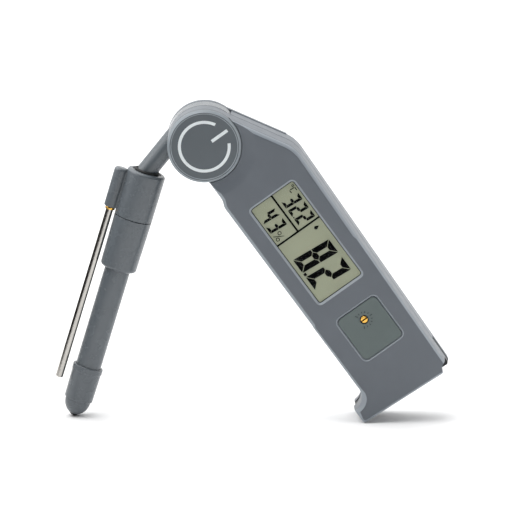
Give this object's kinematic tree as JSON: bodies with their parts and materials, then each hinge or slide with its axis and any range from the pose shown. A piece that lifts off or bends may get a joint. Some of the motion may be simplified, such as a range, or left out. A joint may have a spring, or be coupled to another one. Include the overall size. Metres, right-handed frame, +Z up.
{
  "type": "ph meter",
  "caption": "Folding pocket pH meter: a flat body with a display, hinged to a swinging probe arm with a capped electrode and a thin temperature rod.",
  "frame": {"origin": "middle of the bounding box in plan, at floor level, with the meter standing open on its hook corner and its cap tip", "axes": "+Z up, the display faces -Y, the body slopes down towards +X and the probe hangs towards -X; the hinge axis is along Y"},
  "size_m": [0.1814, 0.026, 0.1475],
  "materials": {
    "case_grey": "fine satin texture",
    "cover_grey": "satin, with a light printed ring",
    "probe_grey": "smooth moulded gloss",
    "black_plastic": "matt moulded",
    "black_rubber": "matt",
    "lens_clear": "clear polished acrylic",
    "lcd_glass": "grey-green display with black segments",
    "white_plastic": "matt moulded",
    "contact_rubber": "soft, matt",
    "board_green": "solder mask",
    "chip_black": "moulded epoxy",
    "reed_glass": "clear glass tube",
    "trimmer_blue": "moulded",
    "label_film": "printed film, satin",
    "brass": "turned and polished",
    "steel": "polished along its length",
    "nickel": "plated",
    "probe_glass": "clear blown glass",
    "bay_grey": "matt moulded"
  },
  "bodies": {
    "meter_body": {"front_shell": "case_grey", "rear_shell": "case_grey", "hinge_cover": "cover_grey", "lcd_lens": "lens_clear", "lcd_panel": "lcd_glass", "lcd_holder": "white_plastic", "lcd_contact_low": "contact_rubber", "lcd_contact_high": "contact_rubber", "main_board": "board_green", "display_chip": "chip_black", "amplifier_chip": "chip_black", "reed_switch": "reed_glass", "trimmer_body": "trimmer_blue", "label_plate": "label_film", "battery_bay": "bay_grey", "contact_plus": "nickel", "contact_minus": "nickel", "hinge_axle": "steel", "axle_screw": "steel", "case_screw_1": "steel", "case_screw_2": "steel", "case_screw_3": "steel", "case_screw_4": "steel"},
    "trimmer": {"trimmer_screw": "brass"},
    "tray": {"battery_tray": "black_plastic", "cell_1": "nickel", "cell_2": "nickel", "cell_3": "nickel", "cell_4": "nickel"},
    "arm": {"probe_arm": "probe_grey", "wave_washer": "steel", "fold_magnet": "nickel", "neck_seal": "black_rubber", "collar_upper": "probe_grey", "temperature_rod": "steel", "rod_ferrule": "brass"},
    "electrode": {"electrode_head": "probe_grey", "electrode_pins": "brass", "electrode_stem": "probe_grey", "glass_tube": "probe_glass", "glass_bulb": "probe_glass"},
    "cap_body": {"cap": "probe_grey", "cap_o_ring": "black_rubber", "cap_tip": "black_rubber"}
  },
  "joints": [
    {"name": "probe_fold", "type": "hinge", "parent": "meter_body", "child": "arm", "pos_m": [-0.02208, 0.0031, 0.13046], "axis": [0, 1, 0], "range_deg": [-52.6, 112]},
    {"name": "trimmer_turn", "type": "hinge", "parent": "meter_body", "child": "trimmer", "pos_m": [0.05126, -0.012, 0.04926], "axis": [0, -1, 0], "continuous": true},
    {"name": "tray_slide", "type": "slide", "parent": "meter_body", "child": "tray", "axis": [0.5878, 0, -0.809], "range_m": [0, 0.045]},
    {"name": "electrode_pull", "type": "slide", "parent": "arm", "child": "electrode", "axis": [-0.2857, 0, -0.9583], "range_m": [0, 0.04]},
    {"name": "cap_pull", "type": "slide", "parent": "electrode", "child": "cap_body", "axis": [-0.2857, 0, -0.9583], "range_m": [0, 0.03]}
  ]
}
